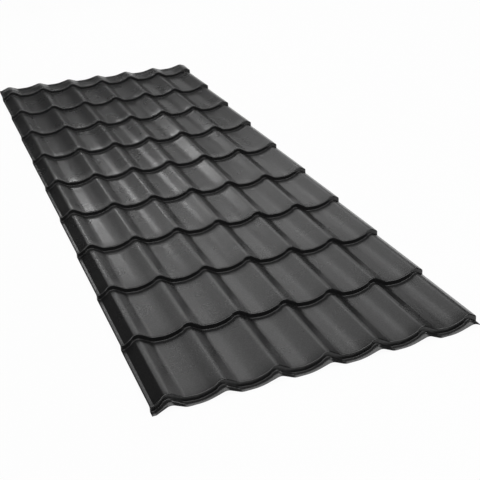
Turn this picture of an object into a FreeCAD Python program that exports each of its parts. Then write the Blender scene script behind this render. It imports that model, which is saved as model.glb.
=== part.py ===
# Pressed metal roof tile sheet, in millimetres.
# One steel sheet is rolled into waves across its width and pressed into tile steps along its length.
# +X runs across the waves, from the underlap edge on the left to the overlap edge on the right.
# +Y runs up the roof slope, from the eaves end to the ridge end. +Z is up.
# The origin lies on the resting plane, below the middle of the sheet.
import FreeCAD, Part
import math
import os

Vec = FreeCAD.Vector

# Steel sheet with its coating
wall = 0.5

# Waves across the width: a steep flank to the right of each crest, and a long gentle one to its left
wavePitch = 183.333
waveCount = 6
waveDepth = 24.0
crestRadius = 28.0
steepAngle = 28.5
steepFootRadius = 38.0
gentleAngle = 21.0
gentleFootRadius = 150.0

# Underlap edge: the outer flank of the first crest ends in a narrow flat flange
underlapAngle = 31.0
flangeWidth = 16.0

# Overlap edge: the sheet is cut part-way down the steep flank of the last crest
overlapReach = 31.0

# Tile steps along the length: a ramp falls by one step height before the next riser, so the noses lie level
moduleLength = 350.0
stepCount = 10
stepHeight = 19.5
riserLean = 5.0
noseRadius = 5.0

# Each riser is scalloped: it stands forward of its straight line by these amounts, least on the crests
crestReach = -2.0
shoulderReach = -1.0
kinkReach = 7.0
kinkPlace = 25.0
panReach = 9.5

# Plain ends beyond the steps, where the waves are a little shallower
eavesLip = 34.0
eavesFlattening = 0.12
ridgeStub = 120.0
ridgeFlattening = 0.30

# Each rounding is a few flat facets, because the sheet repeats it many times
crestFacets = 4
steepFootFacets = 2
gentleFootFacets = 3
noseFacets = 2


def rounded(bends):
    """The line through all corners, each given with its bend radius, or 0, and its number of flat facets."""
    corners = [bend[0] for bend in bends]
    points = [corners[0]]
    for place in range(1, len(bends) - 1):
        corner, radius, facets = bends[place]
        if not radius:
            points.append(corner)
            continue
        arrive = (corner - corners[place - 1]).normalize()
        leave = (corners[place + 1] - corner).normalize()
        half = arrive.getAngle(leave) / 2
        outward = (arrive - leave).normalize()
        along = (arrive + leave).normalize()
        centre = corner - outward * (radius / math.cos(half))
        for facet in range(facets + 1):
            angle = half * (2 * facet / facets - 1)
            points.append(centre + (outward * math.cos(angle) + along * math.sin(angle)) * radius)
    return points + [corners[-1]]


def crestCorner(crestX, leftAngle, rightAngle):
    """Where the two flanks of a crest would meet if it weren't rounded. The rounded top lies at height 0."""
    lean = math.radians(rightAngle - leftAngle) / 2
    half = math.radians(rightAngle + leftAngle) / 2
    outward = Vec(math.sin(lean), 0, math.cos(lean))
    return Vec(crestX, 0, -crestRadius) + outward * (crestRadius / math.cos(half))


def flankFoot(corner, angle):
    """Where a flank that falls from the corner at this angle, to the left if negative, meets the pan."""
    return Vec(corner.x + (corner.z + waveDepth) / math.tan(math.radians(angle)), 0, -waveDepth)


def waveProfile():
    """The section across the waves, from the underlap flange to the cut overlap edge."""
    crest = crestCorner(0, underlapAngle, steepAngle)
    flangeFoot = flankFoot(crest, -underlapAngle)
    bends = [(flangeFoot - Vec(flangeWidth, 0, 0), 0, 0)]
    bends += [(flangeFoot, 0, 0), (crest, crestRadius, crestFacets)]
    for wave in range(waveCount):
        bends.append((flankFoot(crest, steepAngle), steepFootRadius, steepFootFacets))
        crest = crestCorner((wave + 1) * wavePitch, gentleAngle, steepAngle)
        kinkDrop = (crest.x - (wave + 1) * wavePitch + kinkPlace) * math.tan(math.radians(gentleAngle))
        kink = Vec((wave + 1) * wavePitch - kinkPlace, 0, crest.z - kinkDrop)
        bends.append((flankFoot(crest, -gentleAngle), gentleFootRadius, gentleFootFacets))
        bends += [(kink, 0, 0), (crest, crestRadius, crestFacets)]
    cutX = waveCount * wavePitch + overlapReach
    cutDrop = (cutX - crest.x) * math.tan(math.radians(steepAngle))
    bends.append((Vec(cutX, 0, crest.z - cutDrop), 0, 0))
    return rounded(bends)


def riserReach(x):
    """How far a riser stands forward of its straight line at x."""
    nearest = min(max(round(x / wavePitch), 0), waveCount)
    beside = x - nearest * wavePitch
    shoulder = crestRadius / 2
    if -shoulder <= beside <= shoulder:
        share = abs(beside) / shoulder
        return crestReach + (shoulderReach - crestReach) * share
    if beside > shoulder:
        share = min(1, (beside - shoulder) / (wavePitch / 2 - shoulder))
        return shoulderReach + (panReach - shoulderReach) * share
    if beside >= -kinkPlace:
        share = (-beside - shoulder) / (kinkPlace - shoulder)
        return shoulderReach + (kinkReach - shoulderReach) * share
    share = min(1, (-beside - kinkPlace) / (wavePitch / 2 - kinkPlace))
    return kinkReach + (panReach - kinkReach) * share


def stepLine():
    """The line of a crest along the sheet, from the eaves end to the ridge end, and the fall of its ramps."""
    leanRun = stepHeight * math.tan(math.radians(riserLean))
    rampFall = stepHeight / (moduleLength - leanRun)
    bends = [(Vec(0, -eavesLip, (eavesLip - leanRun) * rampFall), 0, 0)]
    for step in range(stepCount):
        noseY = step * moduleLength
        bends.append((Vec(0, noseY - leanRun, 0), 0, 0))
        bends.append((Vec(0, noseY, stepHeight), noseRadius, noseFacets))
    bends.append((Vec(0, noseY + ridgeStub, stepHeight - ridgeStub * rampFall), 0, 0))
    return rounded(bends), rampFall


def underside(line):
    """The line moved down by the wall, square to each of its runs and mitred at its corners."""
    downs = []
    for start, end in zip(line, line[1:]):
        run = (end - start).normalize()
        downs.append(Vec(0, run.z, -run.y))
    lower = [line[0] + downs[0] * wall]
    for place in range(1, len(line) - 1):
        mitre = (downs[place - 1] + downs[place]).normalize()
        lower.append(line[place] + mitre * (wall / mitre.dot(downs[place])))
    return lower + [line[-1] + downs[-1] * wall]


def sheetColumn(spot, outline, rampFall):
    """The outline of the wall at one spot of the wave profile, along the upper side and back along the lower."""
    reach = riserReach(spot.x)
    scallop = Vec(0, -reach, reach * rampFall)
    column = [spot + place + scallop for place in outline]
    half = len(outline) // 2
    for cut in (0, -1):
        column[cut] = outline[cut] + spot - Vec(0, 0, (spot.z + waveDepth) * eavesFlattening)
    for cut in (half - 1, half):
        column[cut] = outline[cut] + spot - Vec(0, 0, spot.z * ridgeFlattening)
    return column


def flatFace(corners):
    """A flat face with these corners."""
    return Part.Face(Part.makePolygon(corners + corners[:1]))


def foldedFaces(corners):
    """Two flat faces for a quad that isn't flat, folded between its first and third corners."""
    return [flatFace(corners[:3]), flatFace([corners[0], corners[2], corners[3]])]


def tileSheet():
    """The whole sheet: flat faces between neighbouring columns, sewn into one solid."""
    upper, rampFall = stepLine()
    outline = upper + underside(upper)[::-1]
    half = len(outline) // 2
    columns = [sheetColumn(spot, outline, rampFall) for spot in waveProfile()]
    faces = [flatFace(columns[0]), flatFace(columns[-1])]
    for left, right in zip(columns, columns[1:]):
        for place in range(len(outline)):
            after = (place + 1) % len(outline)
            corners = [left[place], left[after], right[after], right[place]]
            if place in (0, half - 2):
                faces += foldedFaces(corners)
            elif place in (half, len(outline) - 2):
                # the lower side folds the same way as the upper side above it
                faces += foldedFaces(corners[1:] + corners[:1])
            else:
                faces.append(flatFace(corners))
    shell = Part.makeShell(faces)
    shell.sewShape()
    solid = Part.makeSolid(shell)
    box = solid.BoundBox
    solid.translate(Vec(-box.Center.x, -box.Center.y, -box.ZMin))
    return solid


os.makedirs("parts", exist_ok=True)
sheet = tileSheet()
sheet.exportStep("parts/tile_sheet.step")
print("tile_sheet", sheet.BoundBox, round(sheet.Volume), sheet.isValid(), len(sheet.Faces))
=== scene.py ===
# Metal roof tile sheet: matt dark coat on a pressed steel sheet, on a pale floor.
import math
import bpy
import numpy as np
from mathutils import Matrix, Vector


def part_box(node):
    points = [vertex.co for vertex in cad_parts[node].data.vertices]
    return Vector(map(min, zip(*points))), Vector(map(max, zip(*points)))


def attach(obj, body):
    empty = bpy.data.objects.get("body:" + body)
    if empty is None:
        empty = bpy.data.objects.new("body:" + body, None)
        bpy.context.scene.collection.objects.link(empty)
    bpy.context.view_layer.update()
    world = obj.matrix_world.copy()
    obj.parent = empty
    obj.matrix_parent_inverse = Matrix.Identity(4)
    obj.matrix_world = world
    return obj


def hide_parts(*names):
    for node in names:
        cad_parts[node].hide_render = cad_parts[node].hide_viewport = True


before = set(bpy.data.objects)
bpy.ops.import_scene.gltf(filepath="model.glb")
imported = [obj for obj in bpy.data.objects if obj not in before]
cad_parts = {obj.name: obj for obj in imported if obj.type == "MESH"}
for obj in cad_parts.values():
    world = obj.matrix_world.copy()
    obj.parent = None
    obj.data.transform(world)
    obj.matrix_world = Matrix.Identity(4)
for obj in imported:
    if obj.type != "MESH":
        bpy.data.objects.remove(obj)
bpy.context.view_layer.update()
sheetLow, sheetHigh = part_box("tile_sheet")
print("stage: packed sheet loaded")


# Shader maths as Python expressions

class Wire:
    # one output socket of a material's nodes, with the operators used below
    def __init__(self, paint, socket):
        self.paint = paint
        self.socket = socket

    def math(self, operation, first, second):
        return self.paint.node("ShaderNodeMath", {"operation": operation}, {0: first, 1: second})

    def __add__(self, other):
        return self.math("ADD", self, other)

    def __radd__(self, other):
        return self.math("ADD", other, self)

    def __sub__(self, other):
        return self.math("SUBTRACT", self, other)

    def __rsub__(self, other):
        return self.math("SUBTRACT", other, self)

    def __mul__(self, other):
        return self.math("MULTIPLY", self, other)

    def __rmul__(self, other):
        return self.math("MULTIPLY", other, self)


class Paint:
    # a new material, its nodes and its one shader
    def __init__(self, name):
        self.material = bpy.data.materials.new(name)
        self.material.use_nodes = True
        self.tree = self.material.node_tree
        self.tree.nodes.clear()

    def node(self, kind, settings=None, inputs=None, output=0):
        # any node: its settings first, then the values or wires of its sockets
        made = self.tree.nodes.new(kind)
        for key, value in (settings or {}).items():
            setattr(made, key, value)
        for key, value in (inputs or {}).items():
            socket = made.inputs[key]
            if isinstance(value, Wire):
                self.tree.links.new(value.socket, socket)
            else:
                socket.default_value = value
        return Wire(self, made.outputs[output]) if len(made.outputs) else None

    def noise(self, where, pattern):
        # a pattern is its features per metre, its layers of detail and how strong each finer layer is
        scale, detail, roughness = pattern
        inputs = {"Vector": where, "Scale": scale, "Detail": detail, "Roughness": roughness}
        return self.node("ShaderNodeTexNoise", {}, inputs)

    def objectPlace(self):
        return self.node("ShaderNodeTexCoord", {}, {}, output="Object")

    def blend(self, share, first, second):
        # colours mixed by a share from 0 to 1
        inputs = {0: share, 6: (*first, 1), 7: (*second, 1)}
        return self.node("ShaderNodeMix", {"data_type": "RGBA", "clamp_factor": True}, inputs, output=2)

    def coated(self, inputs):
        # closes the material with one Principled shader
        return self.finish(self.node("ShaderNodeBsdfPrincipled", {}, inputs))

    def finish(self, shader):
        self.node("ShaderNodeOutputMaterial", {}, {"Surface": shader})
        return self.material


# The sheet: the wave profile carried over the steps

sheetPlan = {
    "wall": 0.0005,
    "wavePitch": 0.183333,
    "waveCount": 6,
    "waveDepth": 0.024,
    "crestRadius": 0.028,
    "steepAngle": 28.5,
    "steepFootRadius": 0.038,
    "gentleAngle": 21.0,
    "gentleFootRadius": 0.150,
    "underlapAngle": 31.0,
    "flangeWidth": 0.0135,
    "flangeBend": 0.003,
    "overlapReach": 0.031,
    "moduleLength": 0.350,
    "stepCount": 10,
    "stepHeight": 0.0195,
    "riserLean": 5.0,
    "noseRadius": 0.005,
    "footRadius": 0.0025,
    "reachPlaces": (-0.091667, -0.025, -0.014, 0.0, 0.014, 0.091667),
    "reach": (0.0095, 0.0070, -0.0010, -0.0020, -0.0010, 0.0095),
    "eavesLip": 0.034,
    "eavesFlattening": 0.12,
    "ridgeStub": 0.120,
    "ridgeFlattening": 0.30,
    "columnsPerBend": 8,
    "rowsPerBend": 6,
    "longestAcross": 0.008,
    "longestAlong": 0.060,
}


def roundedLine(corners, radii, pieces):
    # each corner is replaced by an arc of its radius, tangent to both runs;
    # a point of the arc = centre + radius * (outward * cos(angle) + along * sin(angle))
    corners = np.array(corners, float)
    runs = np.diff(corners, axis=0)
    runs /= np.linalg.norm(runs, axis=1)[:, None]
    line = [corners[:1]]
    for place in range(1, len(corners) - 1):
        arrive = runs[place - 1]
        leave = runs[place]
        half = math.acos(min(1.0, float(arrive @ leave))) / 2
        outward = (arrive - leave) / np.linalg.norm(arrive - leave)
        along = (arrive + leave) / np.linalg.norm(arrive + leave)
        centre = corners[place] - outward * (radii[place] / math.cos(half))
        angle = half * np.linspace(-1, 1, pieces[place] + 1)[:, None]
        line.append(centre + radii[place] * (outward * np.cos(angle) + along * np.sin(angle)))
    line.append(corners[-1:])
    return np.concatenate(line)


def divided(line, longest):
    # long straight runs get points between their ends, no further apart than longest
    parts = [line[:1]]
    for start, end in zip(line, line[1:]):
        count = max(1, math.ceil(float(np.linalg.norm(end - start)) / longest))
        share = np.arange(1, count + 1)[:, None] / count
        parts.append(start + (end - start) * share)
    return np.concatenate(parts)


def crestCorner(plan, crestX, leftAngle, rightAngle):
    # where the two flanks of a crest would meet: the arc's centre + radius / cos(half the turn) outwards
    lean = math.radians(rightAngle - leftAngle) / 2
    half = math.radians(rightAngle + leftAngle) / 2
    reach = plan["crestRadius"] / math.cos(half)
    return (crestX + math.sin(lean) * reach, math.cos(lean) * reach - plan["crestRadius"])


def flankFoot(plan, corner, angle):
    # where a flank that falls from the corner meets the pan
    return (corner[0] + (corner[1] + plan["waveDepth"]) / math.tan(math.radians(angle)), -plan["waveDepth"])


def waveLine(plan):
    # the section across the waves: x from the first crest, and height from the crests
    crest = crestCorner(plan, 0.0, plan["underlapAngle"], plan["steepAngle"])
    flange = flankFoot(plan, crest, -plan["underlapAngle"])
    corners = [(flange[0] - plan["flangeWidth"], flange[1]), flange, crest]
    radii = [0, plan["flangeBend"], plan["crestRadius"]]
    for wave in range(1, plan["waveCount"] + 1):
        corners.append(flankFoot(plan, crest, plan["steepAngle"]))
        crest = crestCorner(plan, wave * plan["wavePitch"], plan["gentleAngle"], plan["steepAngle"])
        corners.append(flankFoot(plan, crest, -plan["gentleAngle"]))
        corners.append(crest)
        radii += [plan["steepFootRadius"], plan["gentleFootRadius"], plan["crestRadius"]]
    cutX = plan["waveCount"] * plan["wavePitch"] + plan["overlapReach"]
    corners.append((cutX, crest[1] - (cutX - crest[0]) * math.tan(math.radians(plan["steepAngle"]))))
    radii.append(0)
    return roundedLine(corners, radii, [plan["columnsPerBend"]] * len(corners))


def stepLine(plan):
    # the line of a crest along the sheet: y from the lowest nose, and height from the foot of a riser
    leanRun = plan["stepHeight"] * math.tan(math.radians(plan["riserLean"]))
    fall = plan["stepHeight"] / (plan["moduleLength"] - leanRun)
    corners = [(-plan["eavesLip"], (plan["eavesLip"] - leanRun) * fall)]
    radii = [0]
    for step in range(plan["stepCount"]):
        noseY = step * plan["moduleLength"]
        corners += [(noseY - leanRun, 0.0), (noseY, plan["stepHeight"])]
        radii += [plan["footRadius"], plan["noseRadius"]]
    corners.append((noseY + plan["ridgeStub"], plan["stepHeight"] - plan["ridgeStub"] * fall))
    radii.append(0)
    return roundedLine(corners, radii, [plan["rowsPerBend"]] * len(corners))


def riserReach(plan, x):
    # how far the risers stand forward at x: a line through the given places,
    # which are measured from the nearest crest
    nearest = np.clip(np.round(x / plan["wavePitch"]), 0, plan["waveCount"])
    return np.interp(x - nearest * plan["wavePitch"], plan["reachPlaces"], plan["reach"])


def upperGrid(plan):
    # point (u, v) = (x of the wave line at u, y of the step line at v, sum of their heights);
    # the steps are moved down their ramps by the reach at x,
    # and the waves grow shallower towards both cut ends
    wave = divided(waveLine(plan), plan["longestAcross"])
    step = divided(stepLine(plan), plan["longestAlong"])
    x = wave[:, None, 0] + 0 * step[None, :, 0]
    y = step[None, :, 0] + 0 * x
    drop = wave[:, None, 1] + 0 * y
    lastNose = (plan["stepCount"] - 1) * plan["moduleLength"]
    toEaves = np.clip(-y / plan["eavesLip"], 0, 1)
    toRidge = np.clip((y - lastNose) / plan["ridgeStub"], 0, 1)
    reach = riserReach(plan, x) * (1 - toEaves) * (1 - toRidge)
    fall = plan["stepHeight"] / plan["moduleLength"]
    lowered = (drop + plan["waveDepth"]) * plan["eavesFlattening"] * toEaves
    z = drop * (1 - plan["ridgeFlattening"] * toRidge) + step[None, :, 1] + reach * fall - lowered
    return np.stack([x, y - reach, z], axis=-1)


def gridNormals(grid):
    # cross product of the two directions of the grid, each taken as the mean of the runs before and after
    across = np.gradient(grid, axis=0)
    along = np.gradient(grid, axis=1)
    normal = np.cross(across, along)
    return normal / np.linalg.norm(normal, axis=-1, keepdims=True)


def meshFromSkins(name, upper, lower, kinds):
    # two skins of one grid, closed along the four sides;
    # kinds are the material places of the upper skin, the lower skin and the rim
    columns, rows = upper.shape[:2]
    count = columns * rows
    place = np.arange(count).reshape(columns, rows)
    quad = np.stack([place[:-1, :-1], place[1:, :-1], place[1:, 1:], place[:-1, 1:]], axis=-1)
    quad = quad.reshape(-1, 4)
    ring = np.concatenate([place[:-1, 0], place[-1, :-1], place[:0:-1, -1], place[0, :0:-1]])
    following = np.roll(ring, -1)
    rim = np.stack([ring, ring + count, following + count, following], axis=-1)
    faces = np.concatenate([quad, quad[:, ::-1] + count, rim])
    mesh = bpy.data.meshes.new(name)
    mesh.vertices.add(2 * count)
    mesh.vertices.foreach_set("co", np.concatenate([upper.reshape(-1, 3), lower.reshape(-1, 3)]).ravel())
    mesh.loops.add(faces.size)
    mesh.loops.foreach_set("vertex_index", faces.ravel())
    mesh.polygons.add(len(faces))
    mesh.polygons.foreach_set("loop_start", np.arange(len(faces)) * 4)
    mesh.polygons.foreach_set("loop_total", np.full(len(faces), 4))
    mesh.update(calc_edges=True)
    which = np.repeat(kinds, [len(quad), len(quad), len(rim)])
    mesh.polygons.foreach_set("material_index", which)
    mesh.polygons.foreach_set("use_smooth", np.arange(len(faces)) < 2 * len(quad))
    mesh.validate()
    return mesh


def sheetPiece(plan):
    upper = upperGrid(plan)
    lower = upper - gridNormals(upper) * plan["wall"]
    points = np.concatenate([upper.reshape(-1, 3), lower.reshape(-1, 3)])
    low = points.min(axis=0)
    high = points.max(axis=0)
    # its cut edge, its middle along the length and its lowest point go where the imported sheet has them
    shift = (np.array(sheetLow) + np.array(sheetHigh)) / 2 - (low + high) / 2
    shift[0] = sheetHigh[0] - high[0]
    shift[2] = sheetLow[2] - low[2]
    mesh = meshFromSkins("roofSheet", upper + shift, lower + shift, [0, 1, 2])
    piece = bpy.data.objects.new("roofSheet", mesh)
    bpy.context.scene.collection.objects.link(piece)
    return piece


# Finishes

coatLook = {
    "base": (0.0070, 0.0070, 0.0072),
    "paler": (0.0100, 0.0100, 0.0102),
    "paleCloud": 0.6,
    "paleGrain": 0.4,
    "cloud": (6.0, 3.0, 0.5),
    "roughness": 0.28,
    "roughnessSpread": 0.08,
    "grain": (1400.0, 3.0, 0.6),
    "grainDepth": 0.00006,
    "grainStrength": 0.5,
    "speckle": (190.0, 3.0, 0.7),
    "speckleLevel": 0.44,
    "speckleCoat": 1.6,
}


def mattCoat(look):
    # matt polyester coat: a fine wrinkled grain under a sheen that varies a little,
    # and a speckle, which is a thin second layer that covers the coat in spots
    paint = Paint("mattCoat")
    where = paint.objectPlace()
    grain = paint.noise(where, look["grain"])
    speckle = paint.noise(where, look["speckle"])
    cloud = paint.noise(where, look["cloud"])
    pale = cloud * look["paleCloud"] + grain * look["paleGrain"]
    relief = {"Strength": look["grainStrength"], "Distance": look["grainDepth"], "Height": grain}
    return paint.coated({
        "Base Color": paint.blend(pale, look["base"], look["paler"]),
        "Roughness": look["roughness"] + (cloud - 0.5) * look["roughnessSpread"],
        "Normal": paint.node("ShaderNodeBump", {}, relief),
        "Coat Weight": (speckle - look["speckleLevel"]) * look["speckleCoat"],
        "Coat Roughness": look["roughness"],
    })


backLook = {"base": (0.16, 0.165, 0.17), "darker": 0.85, "cloud": (9.0, 4.0, 0.6), "roughness": 0.55}


def backCoat(look):
    # thin grey primer on the underside, a little darker in patches where the steel shows through
    paint = Paint("backCoat")
    cloud = paint.noise(paint.objectPlace(), look["cloud"])
    darker = tuple(look["darker"] * part for part in look["base"])
    colour = paint.blend(cloud, look["base"], darker)
    return paint.coated({"Base Color": colour, "Roughness": look["roughness"]})


cutLook = {
    "base": (0.30, 0.30, 0.31),
    "paler": (0.42, 0.42, 0.43),
    "streak": (160.0, 2.0, 0.5),
    "roughness": 0.4,
    "metallic": 0.9,
}


def cutSteel(look):
    # the bare zinc-coated steel of the cut edges
    paint = Paint("cutSteel")
    streak = paint.noise(paint.objectPlace(), look["streak"])
    colour = paint.blend(streak, look["base"], look["paler"])
    return paint.coated({"Base Color": colour, "Roughness": look["roughness"], "Metallic": look["metallic"]})


sheet = sheetPiece(sheetPlan)
for finish in (mattCoat(coatLook), backCoat(backLook), cutSteel(cutLook)):
    sheet.data.materials.append(finish)
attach(sheet, "root")
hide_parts("tile_sheet")
print("stage: sheet made,", len(sheet.data.polygons), "faces")


# Floor, light and camera

studio = {
    "floorSize": 3000.0,
    "floorColour": (0.88, 0.88, 0.88),
    "floorGap": 0.0005,
    "floorGlow": 0.95,
    "worldLight": 0.06,
    "sun": {"towards": (-0.50, -0.25, 0.80), "angle": 12.0, "strength": 0.25},
    "softLights": {
        "backHigh": {"place": (0.74, 3.46, 3.54), "size": (5.5, 2.7), "power": 47.0},
        "backStrip": {"place": (0.78, 4.43, 2.19), "size": (4.0, 0.44), "power": 8.0},
        "backSpot": {"place": (0.11, 3.24, 1.41), "size": (0.31, 0.31), "power": 2.2},
        "backGleam": {"place": (1.55, 2.93, 3.61), "size": (0.8, 0.8), "power": 3.0},
        "backRight": {"place": (4.73, 6.06, 2.21), "size": (4.1, 1.3), "power": 15.0},
        "backLow": {"place": (3.61, 7.08, 0.98), "size": (5.8, 1.1), "power": 4.0},
        "lowGleam": {"place": (1.3, 4.6, 1.25), "size": (0.5, 0.9), "power": 0.6},
        "backFar": {"place": (1.4, 7.5, 1.5), "size": (3.5, 0.7), "power": 1.5},
        "leftGleam": {"place": (1.89, 5.04, 3.05), "size": (0.5, 1.2), "power": 2.0},
        "right": {"place": (5.76, 2.10, 5.14), "size": (1.5, 2.0), "power": 50.0},
        "front": {"place": (0.88, -4.15, 6.78), "size": (8.0, 6.0), "power": 450.0},
    },
}


def paleFloor(look):
    # seen directly, mirrored or through glass it is white, and it keeps a trace of the sheet's shadow
    paint = Paint("paleFloor")
    seen = paint.node("ShaderNodeLightPath", {}, {}, output="Is Camera Ray")
    mirrored = paint.node("ShaderNodeLightPath", {}, {}, output="Is Glossy Ray")
    through = paint.node("ShaderNodeLightPath", {}, {}, output="Is Transmission Ray")
    diffuse = paint.node("ShaderNodeBsdfDiffuse", {}, {"Color": (*look["floorColour"], 1)})
    glow = paint.node("ShaderNodeEmission", {}, {"Color": (1, 1, 1, 1), "Strength": 1.0})
    share = (seen + mirrored + through) * look["floorGlow"]
    material = paint.finish(paint.node("ShaderNodeMixShader", {}, {0: share, 1: diffuse, 2: glow}))
    half = look["floorSize"] / 2
    mesh = bpy.data.meshes.new("floor")
    corners = [(-half, -half, 0), (half, -half, 0), (half, half, 0), (-half, half, 0)]
    mesh.from_pydata(corners, [], [(0, 1, 2, 3)])
    mesh.materials.append(material)
    floor = bpy.data.objects.new("floor", mesh)
    bpy.context.scene.collection.objects.link(floor)
    floor.location.z = sheetLow.z - look["floorGap"]


def paleWorld(look):
    world = bpy.data.worlds.new("studio")
    bpy.context.scene.world = world
    world.use_nodes = True
    light = world.node_tree.nodes["Background"]
    light.inputs["Color"].default_value = (1, 1, 1, 1)
    light.inputs["Strength"].default_value = look["worldLight"]


def sunLight(look):
    lamp = bpy.data.lights.new("sun", "SUN")
    lamp.energy = look["strength"]
    lamp.angle = math.radians(look["angle"])
    holder = bpy.data.objects.new("sun", lamp)
    bpy.context.scene.collection.objects.link(holder)
    holder.rotation_euler = Vector(look["towards"]).to_track_quat("Z", "Y").to_euler()


def softLight(name, look):
    # a rectangular lamp that faces the middle of the sheet's resting plane
    lamp = bpy.data.lights.new(name, "AREA")
    lamp.shape = "RECTANGLE"
    lamp.size, lamp.size_y = look["size"]
    lamp.energy = look["power"]
    holder = bpy.data.objects.new(name, lamp)
    bpy.context.scene.collection.objects.link(holder)
    holder.location = look["place"]
    holder.rotation_euler = Vector(look["place"]).to_track_quat("Z", "Y").to_euler()


photoCamera = {
    "place": (-1.0648, -3.6868, 1.7223),
    "aim": (0.1122, -0.7661, 0.0201),
    "roll": -1.0266,
    "lens": 64.90,
    "sensor": 36.0,
    "farthest": 200.0,
    "shiftX": -0.0330,
    "shiftY": -0.0006,
}


def viewCamera(look):
    camera = bpy.data.cameras.new("photoCamera")
    camera.lens = look["lens"]
    camera.sensor_width = look["sensor"]
    camera.shift_x = look["shiftX"]
    camera.shift_y = look["shiftY"]
    camera.clip_end = look["farthest"]
    holder = bpy.data.objects.new("photoCamera", camera)
    bpy.context.scene.collection.objects.link(holder)
    aim = (Vector(look["aim"]) - Vector(look["place"])).to_track_quat("-Z", "Y")
    turn = aim.to_matrix().to_4x4() @ Matrix.Rotation(math.radians(look["roll"]), 4, "Z")
    holder.matrix_world = Matrix.Translation(look["place"]) @ turn
    bpy.context.scene.camera = holder


paleFloor(studio)
paleWorld(studio)
sunLight(studio["sun"])
for lightName, lightLook in studio["softLights"].items():
    softLight(lightName, lightLook)
viewCamera(photoCamera)
bpy.context.scene.view_settings.view_transform = "Standard"
print("stage: floor, light and camera set")
